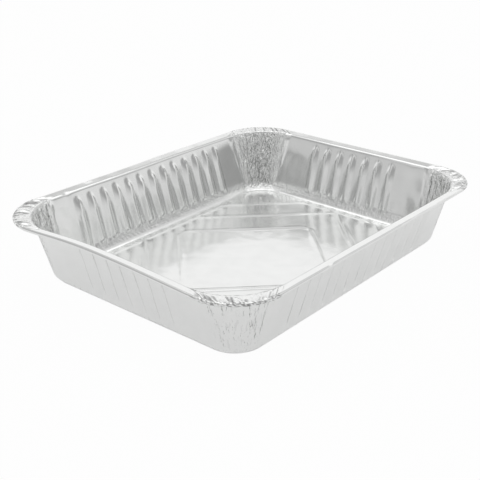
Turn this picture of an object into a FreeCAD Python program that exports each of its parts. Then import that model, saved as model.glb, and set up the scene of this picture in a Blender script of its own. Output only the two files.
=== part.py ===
"""Rectangular aluminium foil tray, drawn from one sheet.

Own frame: origin at the middle of the underside, +X along the long side,
+Y along the short side, +Z up. All lengths in millimetres.

The sheet is an outer form less an inner form, one foil apart, so that floor,
step, wall, bend and flange are one skin. Flutes, corner gathers, pleats and
floor ribs are cut into both forms, one foil apart, as a press leaves them.
The flange falls a little towards the wall, is widest across the corners and
ends in an open curl of the same foil.
"""
import FreeCAD, Part

import math
import os
import re

import Sketcher
from FreeCAD import Placement, Rotation, Vector

SIZES = [
    ("length", 322.0, "overall, across the curled rim"),
    ("width", 256.0, "overall, across the curled rim"),
    ("height", 56.3, "underside to the top of the rim"),
    ("foil", 0.15, "sheet thickness"),
    ("rim_radius", 42.2, "outer corner of the rim"),
    ("flange", 7.6, "outer edge of the rim to the start of the bend"),
    ("flange_tilt", 10.0, "how far the flange falls towards the wall, in degrees"),
    ("bend", 2.6, "radius of the bend from flange to wall"),
    ("curl", 3.0, "outer diameter of the curled edge"),
    ("curl_turn", 250.0, "how far round the curled edge is rolled, in degrees"),
    ("base_length", 264.0, "flat underside, along X"),
    ("base_width", 199.0, "flat underside, along Y"),
    ("base_radius", 22.0, "corner of the underside"),
    ("step_height", 5.2, "top of the sloping step above the underside"),
    ("step_length", 272.8, "top of the step, along X"),
    ("step_width", 208.3, "top of the step, along Y"),
    ("step_radius", 24.0, "corner at the top of the step"),
    ("flute_pitch", 14.15, "between flutes along a wall"),
    ("flute_depth", 2.3, "how far a flute stands in from the wall"),
    ("flute_foot", 8.8, "width of a flute at the wall"),
    ("flute_crest", 2.8, "flat along the top of a flute"),
    ("flute_start", 6.2, "lower tip of a flute above the underside"),
    ("flute_taper", 4.2, "height over which the end of a flute fades"),
    ("head_radius", 45.0, "corner at the head of the wall"),
    ("flute_gap", 5.8, "upper tip of a flute below the top of the rim"),
    ("flutes_long", 13, "flutes on each long wall"),
    ("flutes_short", 7, "flutes on each short wall"),
    ("gather_depth", 1.1, "height of a gather in a corner of the wall"),
    ("gather_foot", 3.0, "width of a gather at its wide end"),
    ("gathers_wall", 7, "gathers down each corner of the wall"),
    ("gather_start", 9.0, "lower tip of a wall gather above the underside"),
    ("pleat_gap", 0.12, "crest of a flange pleat below the top of the rim"),
    ("pleat_slope", 1.4, "half width of a flange pleat for its height"),
    ("pleats", 9, "pleats across each corner of the flange"),
    ("rib_height", 0.9, "floor rib above the floor"),
    ("rib_foot", 6.0, "floor rib at the floor"),
    ("rib_crest", 1.6, "flat along the top of a floor rib"),
    ("rib_bend", 9.0, "centre-line radius where a floor rib turns"),
    ("inner_rib", 82.0, "inner rib: reach of its slanting runs on each axis"),
    ("middle_rib", 126.0, "middle rib: reach of its slanting runs"),
    ("outer_rib", 167.0, "outer rib: reach of its slanting runs"),
    ("rib_inset", 5.6, "outer rib in from the edge of the underside"),
]

doc = FreeCAD.newDocument("FoilTray")
sheet = doc.addObject("Spreadsheet::Sheet", "Sizes")
for row, (alias, value, note) in enumerate(SIZES, start=1):
    sheet.set("A%d" % row, note)
    sheet.set("B%d" % row, str(value))
    sheet.setAlias("B%d" % row, alias)
doc.recompute()
NAMES = [alias for alias, value, note in SIZES]


def new_body(name):
    """A body, with its origin's planes and axes by their roles."""
    made = doc.addObject("PartDesign::Body", name)
    roles = {feature.Role: feature for feature in made.Origin.OriginFeatures}
    return made, roles


body, planes = new_body("outer_form")


def on_sheet(formula):
    """The formula with every size's name pointing at its cell."""
    def point(match):
        word = match.group()
        return "Sizes." + word if word in NAMES else word
    return re.sub(r"[a-z_]+", point, formula)


def worth(formula):
    """What the formula comes to with the sizes of the sheet."""
    return float(sheet.evalExpression(on_sheet(formula)))


def sketch_on(name, role="XY_Plane", away="0", turn=None):
    """A sketch parallel to a plane of the body, a formula's distance away."""
    sketch = body.newObject("Sketcher::SketchObject", name)
    sketch.AttachmentSupport = [(planes[role], "")]
    sketch.MapMode = "FlatFace"
    sketch.AttachmentOffset = Placement(Vector(0, 0, worth(away)), turn or Rotation())
    if away != "0":
        sketch.setExpression(".AttachmentOffset.Base.z", on_sheet(away))
    return sketch


def bind(sketch, index, formula):
    """Tie one constraint of a sketch to the sheet."""
    sketch.setExpression("Constraints[%d]" % index, on_sheet(formula))


def pin(sketch, geometry, point, x, y):
    """Hold a point of a sketch at two formulas from its origin."""
    for kind, formula in (("DistanceX", x), ("DistanceY", y)):
        index = sketch.addConstraint(
            Sketcher.Constraint(kind, -1, 1, geometry, point, worth(formula)))
        bind(sketch, index, formula)


def polygon(sketch, corners):
    """Closed straight-sided outline through corners given as formulas."""
    spots = [Vector(worth(x), worth(y), 0) for x, y in corners]
    count = len(spots)
    for i in range(count):
        sketch.addGeometry(Part.LineSegment(spots[i], spots[(i + 1) % count]), False)
    for i in range(count):
        sketch.addConstraint(Sketcher.Constraint("Coincident", i, 2, (i + 1) % count, 1))
        pin(sketch, i, 1, *corners[i])


def rounded(sketch, corners, radius, closed=True):
    """Outline or path with its corners rounded, all from formulas.

    Each rounded corner keeps its sharp corner as a construction point, which
    both neighbouring lines run through.
    """
    spots = [Vector(worth(x), worth(y), 0) for x, y in corners]
    count = len(spots)
    turns = list(range(count)) if closed else list(range(1, count - 1))
    size = worth(radius)
    entry = {i: spots[i] for i in range(count)}
    leave = dict(entry)
    arcs = {}
    for i in turns:
        back = (spots[i - 1] - spots[i]).normalize()
        ahead = (spots[(i + 1) % count] - spots[i]).normalize()
        half = back.getAngle(ahead) / 2
        entry[i] = spots[i] + back * (size / math.tan(half))
        leave[i] = spots[i] + ahead * (size / math.tan(half))
        centre = spots[i] + (back + ahead).normalize() * (size / math.sin(half))
        middle = centre + (spots[i] - centre).normalize() * size
        arcs[i] = Part.Arc(entry[i], middle, leave[i])
    runs = count if closed else count - 1
    lines = {}
    for i in range(runs):
        line = Part.LineSegment(leave[i], entry[(i + 1) % count])
        lines[i] = sketch.addGeometry(line, False)
    for i in turns:
        arc = sketch.addGeometry(arcs[i], False)
        sharp = sketch.addGeometry(Part.Point(spots[i]), True)
        before = lines[(i - 1) % count]
        after = lines[i]
        curve = sketch.Geometry[arc]
        first = 1 if (curve.StartPoint - entry[i]).Length < 1e-4 else 2
        sketch.addConstraint(Sketcher.Constraint("Tangent", before, 2, arc, first))
        sketch.addConstraint(Sketcher.Constraint("Tangent", arc, 3 - first, after, 1))
        index = sketch.addConstraint(Sketcher.Constraint("Radius", arc, size))
        bind(sketch, index, radius)
        pin(sketch, sharp, 1, *corners[i])
        sketch.addConstraint(Sketcher.Constraint("PointOnObject", sharp, 1, before))
        sketch.addConstraint(Sketcher.Constraint("PointOnObject", sharp, 1, after))
    if not closed:
        pin(sketch, lines[0], 1, *corners[0])
        pin(sketch, lines[runs - 1], 2, *corners[-1])


def rectangle(name, half_x, half_y, radius, away):
    """Rounded rectangle about the middle of the tray at a height."""
    sketch = sketch_on(name, "XY_Plane", away)
    corners = [("%s(%s)" % (sx, half_x), "%s(%s)" % (sy, half_y))
               for sx, sy in (("-", "-"), ("", "-"), ("", ""), ("-", ""))]
    rounded(sketch, corners, radius)
    return sketch


def loft(kind, name, sections):
    """Straight-sided loft through sketches."""
    feature = body.newObject("PartDesign::%sLoft" % kind, name)
    feature.Profile = sections[0]
    feature.Sections = sections[1:]
    feature.Ruled = True
    feature.Refine = False
    return feature


def pipe(kind, name, profile, spine):
    """Sweep of a sketch along another."""
    feature = body.newObject("PartDesign::%sPipe" % kind, name)
    feature.Profile = profile
    feature.Refine = False
    feature.Spine = (spine, ["Edge%d" % (i + 1) for i in range(len(spine.Shape.Edges))])
    return feature


def repeat(name, originals, steps):
    """Repeat features through a row of patterns and mirrors.

    Each step is a type, a reference and, for a row or a fan, its reach and
    its count as formulas.
    """
    multi = body.newObject("PartDesign::MultiTransform", name)
    multi.Originals = originals
    multi.Refine = False
    moves = []
    for number, step in enumerate(steps):
        move = body.newObject("PartDesign::%s" % step[0], "%s_%d" % (name, number))
        if step[0] == "Mirrored":
            move.MirrorPlane = (planes[step[1]], [""])
        elif step[0] == "LinearPattern":
            move.Direction = (planes[step[1]], [""])
            move.Length = worth(step[2])
            move.setExpression("Length", on_sheet(step[2]))
        else:
            move.Axis = (step[1], ["N_Axis"])
            move.Angle = worth(step[2])
        if len(step) == 4:
            move.Occurrences = int(worth(step[3]))
            move.setExpression("Occurrences", on_sheet(step[3]))
        moves.append(move)
    multi.Transformations = moves
    body.Tip = multi
    return multi


# The section through the tray. Every face of the sheet is given by how far it
# stands in from the rim's half length or half width, and by its height. The
# inner face is "0" foils from itself, the outer face one foil below it.

BEND_STEPS = ("78", "54", "31", "flange_tilt")
# Mitre of the sheet where floor meets step, and where step meets wall.
FLOOR_MITRE = 0.46
WALL_MITRE = (0.93, 0.45)
# How far the flange falls from the top of the rim to the bend.
FALL = "(flange - curl / 2) * tan(flange_tilt)"


def bend_in(angle, skin):
    """Reach inward from the rim to the bend at an angle off its top."""
    return "flange + (bend - foil * %s) * sin(%s) - bend * sin(flange_tilt)" % (skin, angle)


def bend_up(angle, skin):
    """Height of the bend at an angle off its top."""
    return "height - %s - bend * cos(flange_tilt) + (bend - foil * %s) * cos(%s)" % (FALL, skin, angle)


def bend_radius(angle, skin):
    """Corner radius of the bend at an angle off its top."""
    return "head_radius + (%s) - (%s)" % (bend_in(BEND_STEPS[0], 0), bend_in(angle, skin))


def step_half(axis, skin):
    """Half size at the top of the step, on the inner or outer face."""
    return "step_%s / 2 - foil * %s" % (axis, WALL_MITRE[0] * (1 - skin))


def step_up(skin):
    """Height of the top of the step, on the inner or outer face."""
    return "step_height + foil * %s" % (WALL_MITRE[1] * (1 - skin))


def up_the_wall(low, high, level, skin):
    """A size of the flat wall at a level, between its foot and its head."""
    share = "((%s) - (%s)) / ((%s) - (%s))" % (
        level, step_up(skin), bend_up(BEND_STEPS[0], skin), step_up(skin))
    return "(%s) + ((%s) - (%s)) * %s" % (low, high, low, share)


def wall_half(axis, level, skin):
    """Half size of the tray at a level of the wall, on one of its faces."""
    head = "%s / 2 - (%s)" % (axis, bend_in(BEND_STEPS[0], skin))
    return up_the_wall(step_half(axis, skin), head, level, skin)


def wall_radius(level, skin):
    """Corner radius of the tray at a level of the wall."""
    foot = "step_radius - foil * %s" % (WALL_MITRE[0] * (1 - skin))
    head = bend_radius(BEND_STEPS[0], skin)
    return up_the_wall(foot, head, level, skin)


AXES = ("length", "width")


def form(name, skin):
    """The pressed form, from the floor up to the flange."""
    floor = "0" if skin else "foil"
    mitre = FLOOR_MITRE * (1 - skin)
    half = ["base_%s / 2 - foil * %s" % (axis, mitre) for axis in AXES]
    sections = [rectangle(name + "_floor", half[0], half[1],
                          "base_radius - foil * %s" % mitre, floor)]
    half = [step_half(axis, skin) for axis in AXES]
    sections.append(rectangle(name + "_step", half[0], half[1],
                              "step_radius - foil * %s" % (WALL_MITRE[0] * (1 - skin)),
                              step_up(skin)))
    for angle in BEND_STEPS:
        inward = bend_in(angle, skin)
        half = ["%s / 2 - (%s)" % (axis, inward) for axis in AXES]
        sections.append(rectangle("%s_bend_%s" % (name, angle), half[0], half[1],
                                  bend_radius(angle, skin), bend_up(angle, skin)))
    half = ["(%s - curl) / 2" % axis for axis in AXES]
    for level in ("height - foil", "height") if skin else ("height",):
        sections.append(rectangle("%s_flange" % name, half[0], half[1],
                                  "rim_radius - curl / 2", level))
    return loft("Additive", name, sections)


# Flutes: ridges pressed inward, hipped at both ends, in rows up the walls.

def flute(name, axis, skin):
    """First flute of a row on the wall that faces along an axis."""
    across = "length" if axis == "width" else "width"
    count = "flutes_long" if axis == "width" else "flutes_short"
    place = "-flute_pitch * (%s - 1) / 2" % count
    back, fade = "1", "foil / 4"
    slope = "(flute_foot - flute_crest) / 2 / flute_depth"
    wide = "flute_foot / 2 + %s * (%s)" % (back, slope)
    tip = ("flute_foot / 2 + %s * (%s)" % (fade, slope), fade)
    crest = ("flute_crest / 2", "-flute_depth")
    levels = [("flute_start", tip), ("flute_start + flute_taper", crest),
              ("height - flute_gap - flute_taper", crest), ("height - flute_gap", tip)]
    sections = []
    for number, (level, (narrow, reach)) in enumerate(levels):
        sketch = sketch_on("%s_%d" % (name, number), "XY_Plane", level)
        wall = wall_half(axis, level, skin)
        deep = "%s + (%s)" % (wall, back)
        near = "%s + (%s)" % (wall, reach)
        corners = [("%s - (%s)" % (place, wide), deep), ("%s - (%s)" % (place, narrow), near),
                   ("%s + (%s)" % (place, narrow), near), ("%s + (%s)" % (place, wide), deep)]
        if axis == "length":
            corners = [(y, x) for x, y in corners]
        polygon(sketch, corners)
        sections.append(sketch)
    return loft("Subtractive", name, sections)


def flute_row(name, axis, skin):
    """A row of flutes on one wall and its mirror on the wall opposite."""
    first = flute(name, axis, skin)
    if axis == "width":
        row = ("LinearPattern", "X_Axis", "flute_pitch * (flutes_long - 1)", "flutes_long")
        return repeat(name + "_row", [first], [row, ("Mirrored", "XZ_Plane")])
    row = ("LinearPattern", "Y_Axis", "flute_pitch * (flutes_short - 1)", "flutes_short")
    return repeat(name + "_row", [first], [row, ("Mirrored", "YZ_Plane")])


# Gathers: folds of spare sheet down the corners of the wall, widest at the top.

def gather(name, number, skin):
    """One gather in the corner between +X and +Y."""
    angle = "90 * (%d + 0.5) / gathers_wall" % number
    back, fade = "1", "foil / 4"
    slope = "gather_foot / 2 / gather_depth"
    levels = [("gather_start", "0.1", fade),
              ("height - bend - flute_gap", "1", "-gather_depth"),
              ("height - bend - %s" % FALL, "0.6", fade)]
    sections = []
    for step, (level, share, reach) in enumerate(levels):
        sketch = sketch_on("%s_%d" % (name, step), "XY_Plane", level)
        radius = wall_radius(level, skin)
        middle_x = "%s - (%s)" % (wall_half("length", level, skin), radius)
        middle_y = "%s - (%s)" % (wall_half("width", level, skin), radius)
        half = "(gather_foot / 2 + %s * %s) * %s" % (back, slope, share)
        corners = []
        for side, out in (("-1", back), ("0", reach), ("1", back)):
            away = "(%s + (%s))" % (radius, out)
            across = "(%s) * %s" % (half, side)
            corners.append(("%s + %s * cos(%s) - %s * sin(%s)" % (middle_x, away, angle, across, angle),
                            "%s + %s * sin(%s) + %s * cos(%s)" % (middle_y, away, angle, across, angle)))
        polygon(sketch, corners)
        sections.append(sketch)
    return loft("Subtractive", name, sections)


def gathers(name, skin):
    """The gathers of one corner, mirrored to the other three."""
    count = int(worth("gathers_wall"))
    folds = [gather("%s_%d" % (name, number), number, skin) for number in range(count)]
    return repeat(name + "_set", folds, [("Mirrored", "XZ_Plane"), ("Mirrored", "YZ_Plane")])


# Pleats: ridges of spare sheet across the corners of the flange, fanned about
# the centre of the rim's corner, from the bend to near the curl.

def pleat(name, number, skin):
    """One pleat in the corner between +X and +Y."""
    angle = "90 * (%d + 0.5) / pleats" % number
    shift = "(flange + %s - rim_radius)" % bend_radius("flange_tilt", 0)
    lean = "(%s * (cos(%s) + sin(%s)))" % (shift, angle, angle)
    inner = "(sqrt(%s ^ 2 + (%s) ^ 2 - 2 * %s ^ 2) - %s)" % (
        lean, bend_radius("flange_tilt", 0), shift, lean)
    outer = "(rim_radius - curl / 2)"
    low = "height - %s - 1" % FALL
    crest = "height - pleat_gap - foil * %s" % skin
    room = "foil * %s" % (1 - skin)
    wide = "pleat_slope * ((%s) - (%s))" % (crest, low)
    levels = [(low, "%s - 0.5 - %s" % (inner, room), "%s - 0.6 + %s" % (outer, room), wide),
              (crest, "%s + 1.4 - %s" % (inner, room), "%s - 1.6 + %s" % (outer, room), "0.02")]
    sections = []
    for step, (level, near, far, half) in enumerate(levels):
        sketch = sketch_on("%s_%d" % (name, step), "XY_Plane", level)
        corners = []
        for out, side in ((near, "-1"), (far, "-1"), (far, "1"), (near, "1")):
            spot = (out, angle, half, side, angle)
            corners.append(("length / 2 - rim_radius + (%s) * cos(%s) - (%s) * %s * sin(%s)" % spot,
                            "width / 2 - rim_radius + (%s) * sin(%s) + (%s) * %s * cos(%s)" % spot))
        polygon(sketch, corners)
        sections.append(sketch)
    return loft("Subtractive", name, sections)


def pleat_fan(name, skin):
    """The pleats of one corner, mirrored to the other three."""
    count = int(worth("pleats"))
    folds = [pleat("%s_%d" % (name, number), number, skin) for number in range(count)]
    return repeat(name + "_set", folds, [("Mirrored", "XZ_Plane"), ("Mirrored", "YZ_Plane")])


# Ribs: low ridges across the floor. The inner one is a diamond, the middle
# one a pair of chevrons that end on the outer one, which follows the edge of
# the underside and cuts across its corners.

def rib_section(name, along, skin):
    """Section of a rib where its path crosses the X axis."""
    sketch = sketch_on(name, "XZ_Plane")
    low, shift = ("-1", "0") if skin else ("foil - 1", "foil")
    slope = "(rib_foot - rib_crest) / 2 / rib_height"
    half = "rib_foot / 2 + (%s - (%s)) * (%s)" % (shift, low, slope)
    top = "rib_height + %s" % shift
    polygon(sketch, [("%s - (%s)" % (along, half), low), ("%s - rib_crest / 2" % along, top),
                     ("%s + rib_crest / 2" % along, top), ("%s + (%s)" % (along, half), low)])
    return sketch


SHORT = "(base_length / 2 - rib_inset)"
LONG = "(base_width / 2 - rib_inset)"
# How far a rounded corner of a square turned on its point falls short of it.
BLUNT = math.sqrt(2) - 1


def rib_path(name, corners, closed):
    """Centre line of a rib on the underside."""
    sketch = sketch_on(name, "XY_Plane")
    rounded(sketch, corners, "rib_bend", closed)
    return sketch


def diamond(reach):
    """Corners of a square on its point, from its reach along the axes."""
    return [(reach, "0"), ("0", reach), ("-" + reach, "0"), ("0", "-" + reach)]


def octagon(reach):
    """Corners of the outer rib."""
    quarter = [(SHORT, "(%s - %s)" % (reach, SHORT)), ("(%s - %s)" % (reach, LONG), LONG)]
    corners = []
    for sx, sy in (("", ""), ("-", ""), ("-", "-"), ("", "-")):
        pair = [(sx + x, sy + y) for x, y in quarter]
        corners += pair if sx == sy else pair[::-1]
    return corners


def chevron(reach):
    """Corners of the middle rib on the +X side."""
    end = "(%s - %s)" % (reach, LONG)
    return [(end, "-" + LONG), (reach, "0"), (end, LONG)]


def ribs(name, skin):
    """All the floor's ribs on one face of the sheet."""
    paths = (("inner", diamond("inner_rib"), True, "inner_rib - rib_bend * %.6f" % BLUNT),
             ("outer", octagon("outer_rib"), True, SHORT),
             ("middle", chevron("middle_rib"), False, "middle_rib - rib_bend * %.6f" % BLUNT))
    for part, corners, closed, along in paths:
        path = rib_path("%s_%s_path" % (name, part), corners, closed)
        section = rib_section("%s_%s_section" % (name, part), along, skin)
        doc.recompute()
        made = pipe("Subtractive", "%s_%s" % (name, part), section, path)
    return repeat(name + "_mirrored", [made], [("Mirrored", "YZ_Plane")])


def pressed(name, skin):
    """A form with its flutes, gathers, pleats and ribs."""
    form(name + "_bowl", skin)
    flute_row(name + "_flute_long", "width", skin)
    flute_row(name + "_flute_short", "length", skin)
    gathers(name + "_gather", skin)
    pleat_fan(name + "_pleat", skin)
    ribs(name + "_rib", skin)


pressed("outer", 1)
outer_form = body
body, planes = new_body("inner_form")
pressed("inner", 0)
inner_form = body

# Rim: the edge of the flange rolled over and under, open towards the wall.
# Its section is a bent strip whose corners lie on two circles a foil apart.

body, planes = new_body("rim")
TURNS = ["90 * %d / 3" % step for step in range(4)]
TURNS += ["90 + (curl_turn - 90) * %d / 5" % step for step in range(1, 6)]


def on_curl(turn, ring):
    """A point of the rim's section, an angle past its top on a circle."""
    return ("length / 2 - curl / 2 + (%s) * sin(%s)" % (ring, turn),
            "height - curl / 2 + (%s) * cos(%s)" % (ring, turn))


rim_section = sketch_on("rim_section", "XZ_Plane")
strip = [on_curl(turn, "curl / 2") for turn in TURNS]
strip += [on_curl(turn, "curl / 2 - foil") for turn in TURNS[::-1]]
polygon(rim_section, strip)
rim_path = rectangle("rim_path", "(length - curl) / 2", "(width - curl) / 2",
                     "rim_radius - curl / 2", "height - curl / 2")
doc.recompute()
pipe("Additive", "rolled_edge", rim_section, rim_path)
rim = body

skin = doc.addObject("Part::Cut", "pressed_skin")
skin.Base = outer_form
skin.Tool = inner_form
tray = doc.addObject("Part::Fuse", "foil_tray")
tray.Base = skin
tray.Tool = rim
tray.Label = "foil_tray"
tray.Placement = Placement()
doc.recompute()

for item in doc.Objects:
    if "Invalid" in item.State or "Error" in item.State:
        raise RuntimeError("%s failed: %s" % (item.Name, item.State))
shape = tray.Shape
if shape.isNull() or not shape.isValid() or len(shape.Solids) != 1:
    raise RuntimeError("the tray is not one valid solid")
box = shape.BoundBox
print("tray: %.1f x %.1f x %.1f mm, %.1f cubic cm, %d faces" % (
    box.XLength, box.YLength, box.ZLength, shape.Volume / 1000, len(shape.Faces)))
os.makedirs("parts", exist_ok=True)
shape.exportStep("parts/%s.step" % tray.Label)
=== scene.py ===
"""Looks of a rectangular aluminium foil tray: one sheet, pressed and rolled.

The tray's frame is the part's own: origin at the middle of the underside, +X
along the long side, +Y along the short side, +Z up. Shapes are worked out in
millimetres as whole arrays and go into the mesh in metres.
"""
import logging
from dataclasses import dataclass, field
from enum import Enum

import bpy
import numpy as np
from mathutils import Matrix


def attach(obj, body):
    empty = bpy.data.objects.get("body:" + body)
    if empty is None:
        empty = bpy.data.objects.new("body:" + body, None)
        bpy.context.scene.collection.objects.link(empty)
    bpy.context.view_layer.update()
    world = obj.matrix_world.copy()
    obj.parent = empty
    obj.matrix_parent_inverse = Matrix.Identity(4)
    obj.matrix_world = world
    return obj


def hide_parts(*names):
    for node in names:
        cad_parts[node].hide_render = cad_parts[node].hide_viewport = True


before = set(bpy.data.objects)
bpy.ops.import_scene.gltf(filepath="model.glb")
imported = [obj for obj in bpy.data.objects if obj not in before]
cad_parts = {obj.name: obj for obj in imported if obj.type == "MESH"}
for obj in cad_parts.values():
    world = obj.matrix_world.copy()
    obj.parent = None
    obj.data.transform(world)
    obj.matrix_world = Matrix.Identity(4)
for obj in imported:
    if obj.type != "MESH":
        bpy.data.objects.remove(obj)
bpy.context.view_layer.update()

log = logging.getLogger("foil_tray")
MM = 0.001

# Range is the lowest and highest of a draw, Stops are pairs of place and level.
Range = tuple[float, float]
Triple = tuple[float, float, float]
Stops = tuple[tuple[float, float], ...]


class Side(Enum):
    """The four walls, as the plan direction that each faces."""

    RIGHT = (1, 0)
    BACK = (0, 1)
    LEFT = (-1, 0)
    FRONT = (0, -1)


@dataclass(frozen=True)
class TraySizes:
    """Driving sizes of the tray in millimetres."""

    length: float = 322.0
    width: float = 256.0
    height: float = 56.3
    foil: float = 0.15
    rim_radius: float = 42.2
    flange: float = 7.6
    flange_tilt: float = 10.0
    bend: float = 2.6
    curl: float = 3.0
    curl_turn: float = 250.0
    base_length: float = 264.0
    base_width: float = 199.0
    base_radius: float = 22.0
    step_height: float = 5.2
    step_length: float = 272.8
    step_width: float = 208.3
    step_radius: float = 24.0
    head_radius: float = 45.0
    flute_pitch: float = 14.15
    flute_depth: float = 2.3
    flute_foot: float = 8.8
    flute_crest: float = 2.8
    flute_start: float = 6.2
    flute_taper: float = 4.2
    flute_gap: float = 5.0
    flute_point: float = 12.0
    flutes_long: int = 13
    flutes_short: int = 7
    rib_height: float = 0.6
    rib_foot: float = 6.0
    rib_crest: float = 1.6
    rib_bend: float = 9.0
    inner_rib: float = 82.0
    middle_rib: float = 126.0
    outer_rib: float = 167.0
    rib_inset: float = 5.6


def ripples(points: np.ndarray, wavelength: float, seed: int, waves: int = 14) -> np.ndarray:
    """Smooth unevenness with a spread of about one.

    Formula: the sum of sine waves with seeded directions, lengths around the
    given one and phases, over the root of half their number.

    Args:
        points: Positions, with their coordinates along the last axis.
        wavelength: Typical distance from crest to crest, in millimetres.
        seed: Number that picks the waves.
        waves: How many sine waves are summed.

    Returns:
        One height for each position.
    """
    rng = np.random.default_rng(seed)
    ways = rng.normal(size=(waves, points.shape[-1]))
    ways /= np.linalg.norm(ways, axis=1, keepdims=True)
    ways *= 2 * np.pi / (wavelength * rng.uniform(0.7, 1.5, (waves, 1)))
    phases = rng.uniform(0, 2 * np.pi, waves)
    return np.sin(points @ ways.T + phases).sum(-1) / np.sqrt(waves / 2)


def ease(x: np.ndarray) -> np.ndarray:
    """Smooth step from 0 to 1: 3 t squared less 2 t cubed, with t held to 0..1."""
    t = np.clip(x, 0.0, 1.0)
    return t * t * (3 - 2 * t)


@dataclass
class Perimeter:
    """The way round the tray in plan, for a rounded rectangle of any size.

    Formula: a point stands at fixed + share * (half - radius - reach) +
    radius * out, for x and for y, so that points in a row of flutes keep their
    place along the wall at every level while the corners fan out. Each point
    also has its turn round its corner, the corner's number, its place along
    its wall and the wall's number, where -1 stands for none.
    """

    sizes: TraySizes
    corner_steps: int = 56
    plain_long: int = 8
    plain_short: int = 10
    edge_gap: float = 0.25
    reach: np.ndarray = field(init=False)
    fixed: np.ndarray = field(init=False)
    share: np.ndarray = field(init=False)
    out: np.ndarray = field(init=False)
    turn: np.ndarray = field(init=False)
    corner: np.ndarray = field(init=False)
    along: np.ndarray = field(init=False)
    side: np.ndarray = field(init=False)

    def __post_init__(self) -> None:
        """Lays out the four walls and four corners, counter-clockwise."""
        s = self.sizes
        self.reach = np.array([s.flutes_long, s.flutes_short]) * s.flute_pitch / 2
        runs = []
        for number, side in enumerate(Side):
            runs.append(self._wall(number, side))
            runs.append(self._corner(number, side))
        stacked = [np.concatenate(part) for part in zip(*runs)]
        self.fixed, self.share, self.out, self.turn, self.corner, self.along, self.side = stacked

    def _wall(self, number: int, side: Side) -> tuple[np.ndarray, ...]:
        """Points of one wall between its two corners.

        Args:
            number: Which wall, in the order of Side.
            side: The wall's direction.

        Returns:
            The arrays of Perimeter for these points.
        """
        s = self.sizes
        facing = np.array(side.value, float)
        ahead = np.array([-facing[1], facing[0]])
        long_wall = side in (Side.BACK, Side.FRONT)
        count = s.flutes_long if long_wall else s.flutes_short
        plain = self.plain_long if long_wall else self.plain_short
        reach = self.reach[0] if long_wall else self.reach[1]
        centres = (np.arange(count) - (count - 1) / 2) * s.flute_pitch
        foot, crest, gap = s.flute_foot / 2, s.flute_crest / 2, self.edge_gap
        breaks = np.array([crest - gap, crest + gap, foot - gap, foot + gap])
        row = (centres[:, None] + np.concatenate([-breaks[::-1], breaks])).ravel()
        beyond = np.arange(plain) / plain
        place = np.concatenate([np.full(plain, -reach), row, np.full(plain, reach)])
        portion = np.concatenate([-beyond[::-1], np.zeros(len(row)), beyond])
        size = len(place)
        fixed = self.reach * facing + place[:, None] * ahead
        share = facing + portion[:, None] * ahead
        out = np.repeat(facing[None], size, 0)
        blank = np.full(size, -1.0)
        return fixed, share, out, blank, np.full(size, -1), place, np.full(size, number)

    def _corner(self, number: int, side: Side) -> tuple[np.ndarray, ...]:
        """Points of the corner that follows a wall.

        Args:
            number: Which corner, in the order of Side.
            side: The wall before the corner.

        Returns:
            The arrays of Perimeter for these points.
        """
        facing = np.array(side.value, float)
        ahead = np.array([-facing[1], facing[0]])
        turn = np.linspace(0.0, 1.0, self.corner_steps + 1)
        angle = turn * np.pi / 2
        size = len(turn)
        out = np.cos(angle)[:, None] * facing + np.sin(angle)[:, None] * ahead
        share = np.repeat((facing + ahead)[None], size, 0)
        blank = np.zeros(size)
        return share * self.reach, share, out, turn, np.full(size, number), blank, np.full(size, -1)

    def ring(self, half_x: np.ndarray, half_y: np.ndarray, radius: np.ndarray) -> np.ndarray:
        """Plan positions for rings of given half sizes and corner radii.

        Args:
            half_x: Half length of each ring.
            half_y: Half width of each ring.
            radius: Corner radius of each ring.

        Returns:
            An array of rings by points by two.
        """
        half = np.stack([half_x, half_y], -1)[:, None]
        r = np.asarray(radius)[:, None, None]
        return self.fixed + self.share * (half - r - self.reach) + r * self.out


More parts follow.
